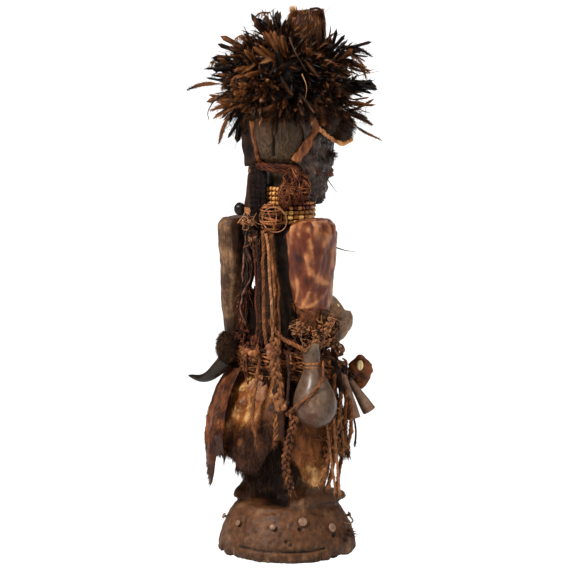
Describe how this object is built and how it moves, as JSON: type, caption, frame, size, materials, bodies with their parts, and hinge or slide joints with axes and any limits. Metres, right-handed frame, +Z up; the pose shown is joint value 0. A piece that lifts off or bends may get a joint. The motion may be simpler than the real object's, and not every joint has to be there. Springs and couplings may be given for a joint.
{
  "type": "songye power figure",
  "caption": "Carved wooden standing power figure on a round base, dressed in feathers, hides, cords, beads, bells and a calabash.",
  "frame": {"origin": "centre of the base's underside", "axes": "+Z up, the figure faces -Y, its right hand is towards -X"},
  "size_m": [0.3037, 0.2913, 0.978],
  "materials": {
    "wood": "worn, dusty, oiled by handling",
    "dark_fibre": "dark twisted plant fibre",
    "fibre": "twisted plant fibre",
    "pale_fibre": "plaited plant fibre",
    "red_hide": "dry red-brown hide",
    "gold_pelt": "golden fur",
    "brown_pelt": "dark brown fur",
    "feather": "black and rust feathers",
    "iron": "forged, brown with rust",
    "horn": "dark horn and seed",
    "gourd": "smoked gourd, satin",
    "glass_bead": "opaque ochre glass",
    "red_bead": "opaque dark red glass",
    "shell": "polished cowrie"
  },
  "bodies": {
    "root": {"carved_figure": "wood", "base_nail_1": "iron", "base_nail_2": "iron", "base_nail_3": "iron", "base_nail_4": "iron", "base_nail_5": "iron", "base_nail_6": "iron", "calabash": "gourd", "bell_lower": "iron", "bell_upper": "iron", "bead_strand_1": "glass_bead", "bead_strand_2": "glass_bead", "bead_strand_3": "glass_bead", "bead_strand_4": "red_bead", "bead_strand_5": "red_bead", "bead_strand_6": "red_bead", "head_binding_cord": "fibre", "waist_cord_1": "fibre", "waist_cord_2": "fibre", "waist_cord_3": "fibre", "spine_cord_left": "dark_fibre", "leather_thong": "fibre", "spine_cord_middle": "fibre", "sling_cord": "fibre", "long_thin_cord": "fibre", "thick_braid": "pale_fibre", "lower_braid": "fibre", "lower_braid_tail": "fibre", "knotted_string": "dark_fibre", "fringe_string_1": "fibre", "fringe_string_2": "pale_fibre", "fringe_string_3": "fibre", "fringe_string_4": "fibre", "arm_bead_string": "pale_fibre", "calabash_sling_cord": "fibre", "bell_cord": "dark_fibre", "cane_ring": "pale_fibre", "neck_knot_bundle": "fibre", "neck_cord_tangle": "fibre", "left_amulet_roll": "dark_fibre", "amulet_ball": "horn", "left_temple_strap": "brown_pelt", "right_temple_strap": "red_hide", "right_arm_hide": "red_hide", "right_elbow_net": "fibre", "left_shoulder_hank": "dark_fibre", "horn": "horn", "amulet_packet": "red_hide", "cowrie_shell": "shell", "leather_tag": "red_hide", "waist_fur_roll": "brown_pelt", "hide_strip_left": "red_hide", "pelt_back_left": "gold_pelt", "pelt_back_lower": "brown_pelt", "pelt_right": "gold_pelt", "pelt_front_right": "brown_pelt", "pelt_front_left": "brown_pelt", "waist_hide_roll": "red_hide", "crown_hide_tuft": "gold_pelt", "feather_headdress": "feather"}
  },
  "joints": []
}
